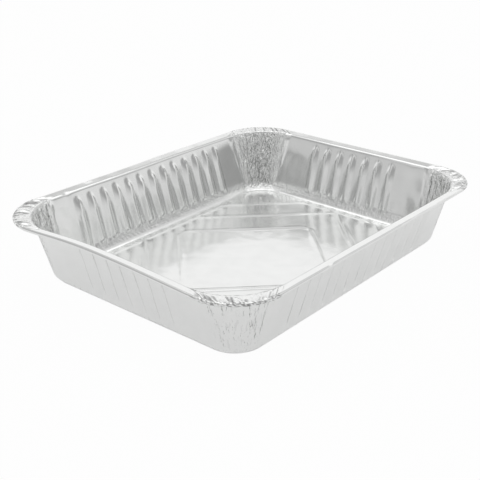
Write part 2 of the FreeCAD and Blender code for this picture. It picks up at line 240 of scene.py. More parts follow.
@dataclass
class Section:
    """The sheet's section from the edge of the floor to the end of the curl.

    Every station gives a ring's half sizes, corner radius and height. Corners
    of the section are rounded as (1-t)^2 a + 2t(1-t) b + t^2 c. A station's
    place across the flange runs from 0 at the bend to 1 at the curl's top.
    """

    sizes: TraySizes
    softness: float = 1.7
    floor_margin: float = 3.2
    wall_levels: tuple[float, ...] = (7.4, 8.7, 10.0, 11.0, 15.0, 20.0, 25.0, 30.0, 35.0, 40.0,
                                      44.0, 45.8, 47.2, 48.8, 50.2, 51.6)
    wall_angle: float = 78.0
    bend_stations: int = 5
    flange_cells: int = 7
    roll_angles: tuple[float, ...] = (0.0, 38.0, 76.0, 114.0, 152.0, 190.0, 220.0)
    stations: np.ndarray = field(init=False)
    across: np.ndarray = field(init=False)

    def __post_init__(self) -> None:
        """Strings the stations of floor edge, step, wall, bend, flange and curl."""
        s = self.sizes
        edge = np.array([s.base_length / 2, s.base_width / 2, s.base_radius, s.foil])
        shoulder = np.array([s.step_length / 2, s.step_width / 2, s.step_radius, s.step_height])
        start = edge - self.floor_margin * np.array([1.0, 1.0, 1.0, 0.0])
        head = self._bend_at(self.wall_angle)
        knee = self._rounded(start, edge, shoulder)
        shelf = self._rounded(edge, shoulder, head)
        share = (np.array(self.wall_levels) - s.step_height) / (head[3] - s.step_height)
        wall = shoulder + (head - shoulder) * share[:, None]
        turns = np.linspace(self.wall_angle, s.flange_tilt, self.bend_stations)
        bend = np.array([self._bend_at(angle) for angle in turns])
        angles = np.append(self.roll_angles, s.curl_turn)
        roll = np.array([self._roll_at(angle) for angle in angles])
        share = np.linspace(0, 1, self.flange_cells + 1)[1:-1, None]
        flange = bend[-1] + (roll[0] - bend[-1]) * share
        inside = np.concatenate([start[None], knee, ((edge + shoulder) / 2)[None], shelf, wall])
        self.stations = np.concatenate([inside, bend, flange, roll])
        self.across = np.concatenate([np.full(len(inside), -1.0), np.linspace(-0.2, 0, len(bend)),
                                      share[:, 0], 1 + angles / 720])

    def _rounded(self, a: np.ndarray, b: np.ndarray, c: np.ndarray) -> np.ndarray:
        """Three stations that round the section's corner at b, on its way from a to c."""
        before = b + (a - b) * self.softness / np.linalg.norm((a - b)[[0, 3]])
        after = b + (c - b) * self.softness / np.linalg.norm((c - b)[[0, 3]])
        t = np.array([[0.0], [0.5], [1.0]])
        return (1 - t) ** 2 * before + 2 * t * (1 - t) * b + t ** 2 * after

    def _rim_at(self, inset: float, drop: float) -> np.ndarray:
        """Station a distance in from the rim's edge and down from its top."""
        s = self.sizes
        return np.array([s.length / 2 - inset, s.width / 2 - inset, s.rim_radius - inset,
                         s.height - drop])

    def _bend_at(self, degrees: float) -> np.ndarray:
        """Station on the bend, at an angle off its top."""
        s = self.sizes
        angle, tilt, head = np.radians([degrees, s.flange_tilt, self.wall_angle])
        fall = (s.flange - s.curl / 2) * np.tan(tilt)
        inset = s.flange + s.bend * (np.sin(angle) - np.sin(tilt))
        station = self._rim_at(inset, fall + s.bend * (np.cos(tilt) - np.cos(angle)))
        station[2] = s.head_radius + s.bend * (np.sin(head) - np.sin(angle))
        return station

    def _roll_at(self, degrees: float) -> np.ndarray:
        """Station on the curled edge, at an angle past its top."""
        angle = np.radians(degrees)
        r = self.sizes.curl / 2
        return self._rim_at(r - r * np.sin(angle), r - r * np.cos(angle))


@dataclass
class FloorRibs:
    """Low ridges across the floor: a diamond, two chevrons and an octagon."""

    sizes: TraySizes
    bevel: float = 0.3
    blend: float = 4.0
    chevron_past: float = 1.0
    chevron_fade: float = 3.0

    def _diamond(self, x: np.ndarray, y: np.ndarray, reach: float) -> np.ndarray:
        """Distance to a square on its point, corners rounded.

        Formula: with u and v the coordinates turned by 45 degrees, the length
        of the part of (|u|, |v|) beyond the half side less the radius, plus
        the larger of the two where it is negative, less the radius.

        Args:
            x: Positions along the tray.
            y: Positions across the tray.
            reach: Where the square's points are on the axes.

        Returns:
            Signed distance, negative inside.
        """
        r = self.sizes.rib_bend
        u, v = np.abs(x + y) / np.sqrt(2), np.abs(x - y) / np.sqrt(2)
        return self._box(u, v, reach / np.sqrt(2), reach / np.sqrt(2), r)

    @staticmethod
    def _box(u: np.ndarray, v: np.ndarray, a: float, b: float, r: float) -> np.ndarray:
        """Signed distance to a rounded rectangle of half sizes a and b."""
        p, q = np.abs(u) - a + r, np.abs(v) - b + r
        outside = np.hypot(np.maximum(p, 0), np.maximum(q, 0))
        return outside + np.minimum(np.maximum(p, q), 0) - r

    def _ridge(self, distance: np.ndarray) -> np.ndarray:
        """Height of a ridge with sloping sides and a narrow top, eased at its edges."""
        s = self.sizes
        slope = (s.rib_foot / 2 - np.abs(distance)) / ((s.rib_foot - s.rib_crest) / 2)
        t = np.clip(slope, 0, 1)
        return s.rib_height * (self.bevel * t + (1 - self.bevel) * ease(t))

    def height(self, x: np.ndarray, y: np.ndarray) -> np.ndarray:
        """Height of all the ribs above the floor.

        Formula: the octagon's distance is the larger of a frame's and the cut
        corners', blended where they are close. The chevrons are a diamond that
        fades out at the long sides.

        Args:
            x: Positions along the tray.
            y: Positions across the tray.

        Returns:
            The highest of the ridges at each position.
        """
        s = self.sizes
        inner = self._diamond(x, y, s.inner_rib)
        middle = self._diamond(x, y, s.middle_rib)
        frame_x = s.base_length / 2 - s.rib_inset
        frame_y = s.base_width / 2 - s.rib_inset
        sides = self._box(x, y, frame_x, frame_y, s.rib_bend)
        cuts = (np.abs(x) + np.abs(y) - s.outer_rib) / np.sqrt(2)
        soft = self.blend
        mix = np.clip(0.5 + (cuts - sides) / (2 * soft), 0, 1)
        outer = sides + (cuts - sides) * mix + soft * mix * (1 - mix)
        held = np.clip((frame_y + self.chevron_past - np.abs(y)) / self.chevron_fade, 0, 1)
        return np.maximum.reduce([self._ridge(inner), self._ridge(middle) * held,
                                  self._ridge(outer)])


@dataclass
class WallFlutes:
    """Ridges pressed inward up the walls, hipped at the foot and pointed at the head."""

    sizes: TraySizes
    seed: int = 11
    unequal: Range = (0.86, 1.08)
    lean: Range = (-0.35, 0.35)
    lean_middle: float = 30.0
    lean_reach: float = 25.0
    strength: tuple[float, ...] = (1.0, 1.0, 0.7, 0.9)

    def depth(self, way: Perimeter, level: np.ndarray) -> np.ndarray:
        """How far the wall stands in at each ring and point.

        Formula: the flute's depth times the lesser of its slope across and its
        fade at the foot, held to 0..1, where its half width narrows to a point
        at the head as the root of the distance left. Flutes differ a little in
        strength and lean, and each wall has a strength of its own.

        Args:
            way: The perimeter's points.
            level: Height of each ring.

        Returns:
            An array of rings by points.
        """
        s = self.sizes
        on_wall = way.side >= 0
        count = np.where(way.side % 2 == 1, s.flutes_long, s.flutes_short)
        number = way.along / s.flute_pitch + (count - 1) / 2
        nearest = np.clip(np.round(number), 0, count - 1)
        rng = np.random.default_rng(self.seed)
        each = (len(Side), s.flutes_long)
        strength = rng.uniform(*self.unequal, each) * np.array(self.strength)[:, None]
        lean = rng.uniform(*self.lean, each)
        picked = (np.maximum(way.side, 0), nearest.astype(int))
        off = (number - nearest) * s.flute_pitch
        tilt = lean[picked] * (level[:, None] - self.lean_middle) / self.lean_reach
        run = (s.flute_foot - s.flute_crest) / 2
        foot = (level - s.flute_start) / s.flute_taper
        head = np.clip((s.height - s.flute_gap - level) / s.flute_point, 0, 1)
        half = s.flute_foot / 2 * np.sqrt(head)[:, None]
        across = (half - np.abs(off + tilt)) / run
        full = np.clip(np.minimum(across, foot[:, None]), 0, 1)
        return s.flute_depth * full * strength[picked] * on_wall


@dataclass(frozen=True)
class FoldKind:
    """A kind of fold in the corners, and the ranges that its sizes are drawn from.

    Widths are shares of the corner's turn and depths are in millimetres. Place
    and reach are levels in millimetres on the wall, and shares of the flange's
    width on the flange.
    """

    count: int
    width: Range
    place: Range
    depth: Range
    reach: Range = (0.0, 0.0)


@dataclass
class CornerFolds:
    """Folds of spare sheet in the corners of the wall and of the flange, and the painted shade in the
    gaps between them.
    """

    sizes: TraySizes
    gathers: FoldKind = FoldKind(9, (0.035, 0.055), (8.0, 26.0), (0.7, 1.7))
    wrinkles: FoldKind = FoldKind(26, (0.018, 0.032), (14.0, 52.0), (0.3, 0.8), (4.0, 16.0))
    pleats: FoldKind = FoldKind(15, (0.02, 0.034), (-0.1, 0.25), (0.5, 1.1))
    creases: FoldKind = FoldKind(30, (0.018, 0.026), (0.1, 1.25), (0.3, 0.8), (0.2, 0.5))
    gather_spacing: Range = (0.25, 0.75)
    pleat_spacing: Range = (0.2, 0.8)
    gather_full: float = 6.0
    gather_close: float = 4.0
    gather_least: float = 0.25
    # Shares of corner points that get painted fold shade: dark lines across the flange, and dark
    # specks on the curl.
    painted_slit_share: float = 0.33
    painted_speck_share: float = 0.4
    strength: tuple[float, ...] = (1.0, 0.8, 0.4, 0.8)

    @staticmethod
    def _fans(turn: np.ndarray, centres: np.ndarray, widths: np.ndarray) -> np.ndarray:
        """Triangular folds round a corner, one row for each: 1 at the fold, 0 a width away."""
        return np.clip(1 - np.abs(turn[None] - centres[:, None]) / widths[:, None], 0, 1)

    def _spaced(self, rng: np.random.Generator, kind: FoldKind, turn: np.ndarray,
                spacing: Range) -> tuple[np.ndarray, np.ndarray, np.ndarray]:
        """Draws folds at about even places round a corner.

        Args:
            rng: Source of the random draws.
            kind: The kind of fold.
            turn: Place of each point round the corner, 0 to 1.
            spacing: Where in its own share of the corner a fold may stand.

        Returns:
            The folds' fans, places and depths.
        """
        centres = (np.arange(kind.count) + rng.uniform(*spacing, kind.count)) / kind.count
        fans = self._fans(turn, centres, rng.uniform(*kind.width, kind.count))
        place = rng.uniform(*kind.place, kind.count)
        return fans, place, rng.uniform(*kind.depth, kind.count)

    def _scattered(self, rng: np.random.Generator, kind: FoldKind, turn: np.ndarray,
                   place: np.ndarray, signs: tuple[float, ...]) -> np.ndarray:
        """Draws short fine folds at random places and adds them up.

        Args:
            rng: Source of the random draws.
            kind: The kind of fold.
            turn: Place of each point round the corner, 0 to 1.
            place: Level or place across the flange of each ring, as a column.
            signs: Which ways the folds may go, with their strength.

        Returns:
            An array of rings by points.
        """
        spots = rng.uniform(0, 1, kind.count)
        fans = self._fans(turn, spots, rng.uniform(*kind.width, kind.count))
        middle = rng.uniform(*kind.place, kind.count)
        reach = rng.uniform(*kind.reach, kind.count)
        window = np.clip(1 - np.abs(place - middle) / reach, 0, 1)
        signed = rng.choice(signs, kind.count) * rng.uniform(*kind.depth, kind.count)
        return ((window * signed)[:, :, None] * fans[None]).sum(1)

    def wall(self, way: Perimeter, level: np.ndarray) -> np.ndarray:
        """How far the corner of the wall stands in.

        Formula: for each gather its depth, times its triangle round the corner,
        times a rise from its own foot to the bend, where it closes; the deepest
        counts, and the wrinkles are added on it.

        Args:
            way: The perimeter's points.
            level: Height of each ring.

        Returns:
            An array of rings by points.
        """
        s = self.sizes
        total = np.zeros((len(level), len(way.turn)))
        place = level[:, None]
        top = s.height - s.bend - 1
        for number in range(len(Side)):
            rng = np.random.default_rng(40 + number)
            here = way.corner == number
            turn = way.turn[here]
            fans, low, deep = self._spaced(rng, self.gathers, turn, self.gather_spacing)
            rise = np.clip((place - low) / (top - self.gather_full - low), 0, 1)
            shut = np.clip((top + 1.5 - place) / self.gather_close, self.gather_least, 1)
            coarse = ((rise * shut * deep)[:, :, None] * fans[None]).max(1)
            total[:, here] = coarse + self._scattered(rng, self.wrinkles, turn, place, (-1.0, 1.0))
        return total

    def flange(self, way: Perimeter, across: np.ndarray) -> np.ndarray:
        """How far the corner of the flange is raised or sunk.

        Formula: for each pleat its height, times its triangle round the corner,
        times a window between the bend and the curl; finer creases of either
        sign are added, and run on over the curl.

        Args:
            way: The perimeter's points.
            across: Place of each ring, 0 at the bend and 1 at the curl's top.

        Returns:
            An array of rings by points, positive upward.
        """
        total = np.zeros((len(across), len(way.turn)))
        place = across[:, None]
        for number in range(len(Side)):
            rng = np.random.default_rng(70 + number)
            here = way.corner == number
            turn = way.turn[here]
            fans, start, tall = self._spaced(rng, self.pleats, turn, self.pleat_spacing)
            window = np.clip((place - start) / 0.15, 0, 1) * np.clip((1.02 - place) / 0.3, 0, 1)
            coarse = ((window * tall)[:, :, None] * fans[None]).max(1)
            fine = self._scattered(rng, self.creases, turn, place, (-1.0, -0.6, 1.0))
            total[:, here] = coarse + fine
        return total * (place > -0.1)

    def painted_fold_shade_mask(self, way: Perimeter, across: np.ndarray) -> np.ndarray:
        """Painted shade in the gaps between the pleats, from 0 to 1.

        Formula: a share of the points round a corner get a painted dark line of their own length out
        to the curl, and a share of those on the curl get a painted dark speck, both standing in for
        shade in tight folds.

        Args:
            way: The perimeter's points.
            across: Place of each ring, 0 at the bend and 1 at the curl's top.

        Returns:
            An array of rings by points.
        """
        rng = np.random.default_rng(90)
        size = len(way.turn)
        every = (len(across), size)
        held = (way.corner >= 0) * ease((0.5 - np.abs(way.turn - 0.5)) / 0.12)
        # Painted shade: dark lines out to the curl and dark specks on it, where folds are tight.
        deep = rng.uniform(0.35, 0.85, size) * (rng.uniform(0, 1, size) < self.painted_slit_share)
        start = rng.uniform(0.0, 0.75, size)
        end = rng.uniform(0.8, 1.1, size)
        place = across[:, None]
        slit_shade = deep * ((place > start) & (place < end))
        curl = rng.uniform(0.3, 0.9, every) * (rng.uniform(0, 1, every) < self.painted_speck_share)
        return np.maximum(slit_shade, curl * (place > 0.98)) * held * (place > -0.01)


@dataclass(frozen=True)
class Nick:
    """A nick in the rim: its place in plan, width and depth in millimetres."""

    x: float
    y: float
    width: float
    depth: float


@dataclass(frozen=True)
class Dimples:
    """A dented patch of a wall, in millimetres.

    The wall is where the patch begins on the axis that the wall faces, and the
    two ends are on the axis along it.
    """

    wall: float
    low: float
    high: float
    depth: float
    wavelength: float
    seed: int

    def push(self, points: np.ndarray, facing: np.ndarray, along: np.ndarray) -> np.ndarray:
        """How far the wall is pushed out, eased to nothing at the patch's ends.

        Args:
            points: Positions in millimetres.
            facing: Their coordinate on the axis that the wall faces.
            along: Their coordinate on the axis along the wall.

        Returns:
            One distance for each position.
        """
        ends = ease((self.high - along) / 12) * ease((along - self.low) / 14)
        waves = ripples(points * [1, 1, 1.3], self.wavelength, self.seed)
        return self.depth * waves * ease((facing - self.wall) / 10) * ends


@dataclass
class HandlingMarks:
    """Slight bows, dents and unevenness that thin sheet picks up."""

    sizes: TraySizes
    bow_in: float = 3.0
    bow_up: float = 1.3
    bow_start: float = -100.0
    bow_end: float = 88.0
    bow_rise: float = 122.0
    bow_fall: float = 66.0
    sway_up: float = 0.25
    sway_out: float = 0.22
    right_dimples: Dimples = Dimples(128.0, -106.0, -52.0, 0.6, 34.0, 9)
    left_dimples: Dimples = Dimples(95.0, -140.0, -92.0, 0.4, 27.0, 10)
    nicks: tuple[Nick, ...] = (Nick(-65.0, 127.0, 2.4, 1.0), Nick(-65.0, -126.5, 2.4, 0.8),
                               Nick(-93.0, 118.2, 3.0, 0.8))

    def move(self, points: np.ndarray) -> np.ndarray:
        """Positions after handling.

        Formula: the bow of the short rim at -X, which is the sine of the lesser
        run to its ends, then low waves, dimples and bell-shaped nicks. All grow
        with height, because the rim gives more than the floor.

        Args:
            points: Positions in millimetres.

        Returns:
            The moved positions.
        """
        moved = points.copy()
        x, y, z = points[..., 0], points[..., 1], points[..., 2]
        lift = np.clip(z / self.sizes.height, 0, 1)
        on_left = ease((-x - 120) / 20)
        rise, fall = (y - self.bow_start) / self.bow_rise, (self.bow_end - y) / self.bow_fall
        run = np.clip(np.minimum(rise, fall), 0, 1)
        bow = np.sin(run * np.pi / 2) ** 1.4 * on_left * lift ** 2
        moved[..., 0] += self.bow_in * bow
        moved[..., 2] += self.bow_up * bow * lift
        moved[..., 2] += self.sway_up * ripples(points * [1, 1, 0.4], 120, 5) * lift ** 2
        on_ends, on_sides = ease((np.abs(x) - 110) / 20), ease((np.abs(y) - 80) / 20)
        moved[..., 0] += self.sway_out * ripples(points, 95, 6) * lift * on_ends
        moved[..., 1] += self.sway_out * ripples(points, 95, 7) * lift * on_sides
        slack = 4 * lift * (1 - lift)
        moved[..., 0] += self.right_dimples.push(points, x, y) * slack
        moved[..., 1] += self.left_dimples.push(points, y, x) * slack
        for nick in self.nicks:
            near = np.exp(-((x - nick.x) ** 2 + (y - nick.y) ** 2) / nick.width ** 2)
            moved[..., 2] -= nick.depth * near * lift ** 4
        return moved


@dataclass(frozen=True)
class Grain:
    """A layer of noise: its scale per metre, its strength, and its squeeze along z.

    Strength is a height in metres where the layer is relief.
    """

    scale: float
    strength: float
    detail: float = 2.0
    upright: float = 1.0


@dataclass(frozen=True)
class FoilFinish:
    """Bright rolled aluminium foil, crumpled where it was gathered, with painted shade in the gaps
    between its corner folds.
    """

    colour: Triple = (0.895, 0.899, 0.892)
    shade: Triple = (0.84, 0.846, 0.84)
    # fold is painted shade: the near-black colour laid into the gaps between the corner folds, where
    # shade falls.
    fold: Triple = (0.12, 0.12, 0.12)
    gloss: float = 0.09
    dull: float = 0.2
    crumpled: float = 0.05
    cloud: Grain = Grain(60.0, 1.0, 3.0)
    buckles: Grain = Grain(42.0, 0.00042, 1.0)
    drawn: Grain = Grain(330.0, 0.000022, 2.0, 0.06)
    fine: Grain = Grain(1500.0, 0.0000025)
    crease: Grain = Grain(330.0, 0.0007)
    patch: Grain = Grain(600.0, 0.0004)
    runs: Grain = Grain(430.0, 0.0052, 2.0, 0.09)
    # Noise, and the levels it is cut at, that spread painted fold shade over the crumpled corners.
    painted_slits: Grain = Grain(520.0, 0.22, 1.0, 0.09)
    painted_slit_edges: Range = (0.6, 0.68)


class Value:
    """A shader socket with arithmetic, where each operation adds a Math node."""

    def __init__(self, graph: "Graph", socket: bpy.types.NodeSocket) -> None:
        """Keeps the socket and the graph it belongs to."""
        self.graph = graph
        self.socket = socket

    def _math(self, operation: str, first: "Value | float", second: "Value | float" = 0.0) -> "Value":
        """A Math node of an operation on two values."""
        made = self.graph.add("ShaderNodeMath", {"operation": operation}, {0: first, 1: second})
        return Value(self.graph, made.outputs[0])

    def __add__(self, other: "Value | float") -> "Value":
        """Sum."""
        return self._math("ADD", self, other)

    def __radd__(self, other: float) -> "Value":
        """Sum with a number first."""
        return self._math("ADD", other, self)

    def __sub__(self, other: "Value | float") -> "Value":
        """Difference."""
        return self._math("SUBTRACT", self, other)

    def __rsub__(self, other: float) -> "Value":
        """Difference from a number."""
        return self._math("SUBTRACT", other, self)

    def __mul__(self, other: "Value | float") -> "Value":
        """Product."""
        return self._math("MULTIPLY", self, other)

    def __rmul__(self, other: float) -> "Value":
        """Product with a number first."""
        return self._math("MULTIPLY", other, self)

    def maximum(self, other: "Value | float") -> "Value":
        """The larger of two."""
        return self._math("MAXIMUM", self, other)


class Graph:
    """The nodes of a material or of the world."""

    def __init__(self, tree: bpy.types.NodeTree) -> None:
        """Starts with an empty tree."""
        self.tree = tree
        self.tree.nodes.clear()

    def add(self, kind: str, settings: dict, sockets: dict) -> bpy.types.Node:
        """A node with its settings made first and its sockets filled or linked.

        Args:
            kind: The node's type.
            settings: Properties of the node by name.
            sockets: Values or links by input name or number.

        Returns:
            The node.
        """
        node = self.tree.nodes.new(kind)
        for name, value in settings.items():
            setattr(node, name, value)
        for name, value in sockets.items():
            if isinstance(value, Value):
                self.tree.links.new(value.socket, node.inputs[name])
            elif isinstance(value, bpy.types.NodeSocket):
                self.tree.links.new(value, node.inputs[name])
            else:
                node.inputs[name].default_value = value
        return node

    def noise(self, place: Value, grain: Grain) -> Value:
        """Fractal noise from 0 to 1 on coordinates squeezed along z."""
        squeeze = (1.0, 1.0, grain.upright)
        spread = self.add("ShaderNodeMapping", {}, {"Vector": place, "Scale": squeeze})
        made = self.add("ShaderNodeTexNoise", {}, {
            "Vector": spread.outputs[0], "Scale": grain.scale, "Detail": grain.detail,
            "Roughness": 0.55})
        return Value(self, made.outputs[0])

    def over(self, value: Value, low: float, high: float) -> Value:
        """Smooth step from 0 at a low level to 1 at a high one."""
        made = self.add("ShaderNodeMapRange", {"interpolation_type": "SMOOTHSTEP"}, {
            0: value, 1: low, 2: high, 3: 0.0, 4: 1.0})
        return Value(self, made.outputs[0])

    def ramp(self, value: Value, stops: Stops) -> Value:
        """Level read off straight lines between stops, given as pairs of place and level."""
        made = self.add("ShaderNodeValToRGB", {}, {0: value})
        elements = made.color_ramp.elements
        for element, stop in ((elements[0], stops[0]), (elements[1], stops[-1])):
            element.position = stop[0]
            element.color = (stop[1], stop[1], stop[1], 1.0)
        for place, level in stops[1:-1]:
            elements.new(place).color = (level, level, level, 1.0)
        return Value(self, made.outputs[0])

    def cells(self, place: Value, grain: Grain) -> Value:
        """Distance to the nearest edge in a pattern of cells."""
        made = self.add("ShaderNodeTexVoronoi", {"feature": "DISTANCE_TO_EDGE"}, {
            "Vector": place, "Scale": grain.scale})
        return Value(self, made.outputs["Distance"])


class FoilMaterial:
    """The procedural material of the pressed foil."""

    def __init__(self, finish: FoilFinish) -> None:
        """Builds the material.

        Args:
            finish: Its colours and gloss.
        """
        self.finish = finish
        self.material = bpy.data.materials.new("pressed_foil")
        self.material.use_nodes = True
        self.material.diffuse_color = (*finish.colour, 1.0)
        self.material.metallic = 1.0
        self._wire(Graph(self.material.node_tree))

    def _wire(self, graph: Graph) -> None:
        """Wires colour, gloss, relief and painted shade in the gaps between the corner folds.

        Relief is the sum, in metres, of broad buckling, lines drawn down the
        walls, faint grain, and creases where the sheet was gathered.

        Args:
            graph: The material's nodes.
        """
        finish = self.finish
        spot = graph.add("ShaderNodeTexCoord", {}, {})
        place = Value(graph, spot.outputs["Object"])
        # The second attribute is painted shade for the gaps between the corner folds.
        crumple, painted_fold_shade = [Value(graph, graph.add(
            "ShaderNodeAttribute", {"attribute_name": name}, {}).outputs["Fac"])
            for name in ("crumple", "painted_fold_shade")]
        even = [graph.noise(place, grain) * grain.strength for grain in
                (finish.buckles, finish.drawn, finish.fine)]
        folded = [graph.cells(place, finish.crease) * finish.crease.strength]
        folded += [graph.noise(place, grain) * grain.strength for grain in
                   (finish.patch, finish.runs)]
        relief = even[0] + even[1] + even[2] + crumple * (folded[0] + folded[1] + folded[2])
        bump = graph.add("ShaderNodeBump", {}, {
            "Strength": 1.0, "Distance": 1.0, "Height": relief})
        cloudy = graph.noise(place, finish.cloud)
        gloss = finish.gloss + (finish.dull - finish.gloss) * cloudy + crumple * finish.crumpled
        tint = graph.add("ShaderNodeMix", {"data_type": "RGBA"}, {
            0: cloudy, 6: (*finish.colour, 1.0), 7: (*finish.shade, 1.0)})
        # Painted shade: noise over the crumpled corners and the painted fold shade attribute pull the
        # colour towards the near-black fold colour, for shade in tight folds.
        painted_slits = graph.over(graph.noise(place, finish.painted_slits), *finish.painted_slit_edges)
        depth = painted_fold_shade.maximum(painted_slits * crumple * finish.painted_slits.strength)
        tint = graph.add("ShaderNodeMix", {"data_type": "RGBA"}, {
            0: depth, 6: tint.outputs[2], 7: (*finish.fold, 1.0)})
        shader = graph.add("ShaderNodeBsdfPrincipled", {}, {
            "Base Color": tint.outputs[2], "Metallic": 1.0, "Roughness": gloss,
            "Normal": bump.outputs[0]})
        graph.add("ShaderNodeOutputMaterial", {}, {0: shader.outputs[0]})


@dataclass
class FoilTray:
    """The whole tray: one sheet from the middle of the floor to the curl."""

    sizes: TraySizes = field(default_factory=TraySizes)
    finish: FoilFinish = field(default_factory=FoilFinish)
    even_after: float = 16.0
    crumple_rise: float = 12.0
    crumpled_flange: float = 0.2
    crumpled_foot: float = 0.18
    sharp_angle: float = 38.0

    def _floor_grid(self, edge: np.ndarray, columns: int, rows: int) -> np.ndarray:
        """Plan positions of the floor's grid inside its edge.

        Formula: the edge's four sides carried across by a Coons patch, which
        gives way to evenly spaced lines a few cells in from the edge.

        Args:
            edge: The floor's outermost ring, points by two.
            columns: Cells along the tray.
            rows: Cells across the tray.

        Returns:
            An array of rows plus one by columns plus one by two.
        """
        count = len(edge)
        start = np.arange(count)
        south = edge[start[:columns + 1] % count]
        east = edge[(columns + start[:rows + 1]) % count]
        north = edge[(columns + rows + start[:columns + 1]) % count][::-1]
        west = edge[(2 * columns + rows + start[:rows + 1]) % count][::-1]
        u = np.linspace(0, 1, columns + 1)[None, :, None]
        v = np.linspace(0, 1, rows + 1)[:, None, None]
        patch = (1 - v) * south[None] + v * north[None]
        patch = patch + (1 - u) * west[:, None] + u * east[:, None]
        patch = patch - (1 - u) * (1 - v) * south[0] - u * (1 - v) * south[-1]
        patch = patch - (1 - u) * v * north[0] - u * v * north[-1]
        low, high = edge.min(0), edge.max(0)
        even = np.stack(np.broadcast_arrays(low[0] + (high[0] - low[0]) * u[..., 0],
                                            low[1] + (high[1] - low[1]) * v[..., 0]), -1)
        i = np.arange(columns + 1)[None, :]
        j = np.arange(rows + 1)[:, None]
        deep = np.minimum(np.minimum(i, columns - i), np.minimum(j, rows - j))
        mix = ease(deep / self.even_after)[..., None]
        return patch * (1 - mix) + even * mix

    def _rings(self, way: Perimeter, section: Section, folds: CornerFolds) -> np.ndarray:
        """Every ring of the section, with its flutes and folds, in millimetres."""
        s = self.sizes
        half_x, half_y, radius, level = section.stations.T
        on_wall = (level > s.step_height + 0.3) & (section.across < 0)
        inward = WallFlutes(s).depth(way, level) + folds.wall(way, level)
        inward = inward * on_wall[:, None]
        plan = way.ring(half_x, half_y, radius) - inward[..., None] * way.out
        height = level[:, None] + folds.flange(way, section.across)
        return np.concatenate([plan, height[..., None]], -1)

    def _masks(self, way: Perimeter, section: Section,
               folds: CornerFolds) -> tuple[np.ndarray, np.ndarray]:
        """How crumpled the sheet is, and how much painted shade its corner folds get, at each ring
        and point.

        Formula: the sheet is crumpled by its corner's strength, times a window round the corner,
        times a rise from the floor, and less so on the flange. A bell-shaped share is left all along
        the foot of the wall. Where the sheet is crumpled, the material also lays painted shade into
        its folds.
        """
        level = section.stations[:, 3]
        strength = np.append(folds.strength, 0.0)[way.corner]
        window = strength * ease((0.49 - np.abs(way.turn - 0.5)) / 0.34)
        spread = np.clip(level / self.crumple_rise, 0, 1)
        spread = spread * np.where(section.across > -0.1, self.crumpled_flange, 1.0)
        foot = self.crumpled_foot * np.exp(-((level - 5.5) / 2.5) ** 2)
        crumple = np.maximum(spread[:, None] * window[None], foot[:, None])
        return crumple, folds.painted_fold_shade_mask(way, section.across)

    def _surface(self) -> tuple[np.ndarray, ...]:
        """The sheet's upper face.

        Returns:
            Vertices in millimetres, four-sided faces, how crumpled the sheet is at each vertex, and
            how much painted shade the folds in a corner's hem get.
        """
        s = self.sizes
        way, section, folds = Perimeter(s), Section(s), CornerFolds(s)
        front = way.corner == list(Side).index(Side.LEFT)
        first = int(np.flatnonzero(front & (np.abs(way.turn - 0.5) < 1e-9))[0])
        rings = np.roll(self._rings(way, section, folds), -first, axis=1)
        masks = [np.roll(mask, -first, axis=1) for mask in self._masks(way, section, folds)]
        count, around = rings.shape[:2]
        columns = way.corner_steps + 2 * way.plain_long + 8 * s.flutes_long + 1
        rows = around // 2 - columns
        grid = self._floor_grid(rings[0, :, :2], columns, rows)
        ribs = FloorRibs(s).height(grid[..., 0], grid[..., 1]) + s.foil
        floor = np.concatenate([grid, ribs[..., None]], -1)
        number = np.full((rows + 1, columns + 1), -1)
        border = self._border(columns, rows)
        number[border] = np.arange(around)
        inner = number < 0
        number[inner] = np.arange(inner.sum()) + around * count
        vertices = np.concatenate([rings.reshape(-1, 3), floor[inner]])
        vertices[:around, 2] = ribs[border]
        bottom = np.stack([number[:-1, :-1], number[:-1, 1:], number[1:, 1:], number[1:, :-1]], -1)
        index = np.arange(count * around).reshape(count, around)
        ahead = np.roll(index, -1, 1)
        skirt = np.stack([index[:-1], index[1:], ahead[1:], ahead[:-1]], -1)
        faces = np.concatenate([bottom.reshape(-1, 4), skirt.reshape(-1, 4)])
        plain = np.zeros(inner.sum())
        # Floor points get no crumpling and no painted fold shade.
        crumple, painted_fold_shade = [np.concatenate([mask.ravel(), plain]) for mask in masks]
        return HandlingMarks(s).move(vertices), faces, crumple, painted_fold_shade

    @staticmethod
    def _border(columns: int, rows: int) -> tuple[np.ndarray, np.ndarray]:
        """Row and column of every border vertex of a grid, counter-clockwise."""
        right = np.arange(columns)
        up = np.arange(rows)
        i = np.concatenate([right, np.full(rows, columns), columns - right, np.zeros(rows, int)])
        j = np.concatenate([np.zeros(columns, int), up, np.full(columns, rows), rows - up])
        return j, i

    def build(self) -> bpy.types.Object:
        """Makes the tray's piece and dresses it.

        Returns:
            The piece.
        """
        vertices, faces, crumple, painted_fold_shade = self._surface()
        mesh = bpy.data.meshes.new("pressed_tray")
        mesh.from_pydata((vertices * MM).tolist(), [], faces.tolist())
        mesh.polygons.foreach_set("use_smooth", np.ones(len(faces), bool))
        # The second attribute carries painted shade for the gaps between the corner folds.
        for name, values in (("crumple", crumple), ("painted_fold_shade", painted_fold_shade)):
            layer = mesh.attributes.new(name, "FLOAT", "POINT")
            layer.data.foreach_set("value", values.astype(np.float32))
        mesh.set_sharp_from_angle(angle=np.radians(self.sharp_angle))
        mesh.update()
        piece = bpy.data.objects.new("pressed_tray", mesh)
        bpy.context.scene.collection.objects.link(piece)
        sheet = piece.modifiers.new("sheet", "SOLIDIFY")
        sheet.thickness = self.sizes.foil * MM
        sheet.offset = -1.0
        mesh.materials.append(FoilMaterial(self.finish).material)
        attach(piece, "root")
        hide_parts("foil_tray")
        return piece


@dataclass(frozen=True)
class Lamp:
    """A square soft lamp that faces the tray: place and side in metres, power in watts."""

    name: str
    place: Triple
    side: float
    power: float


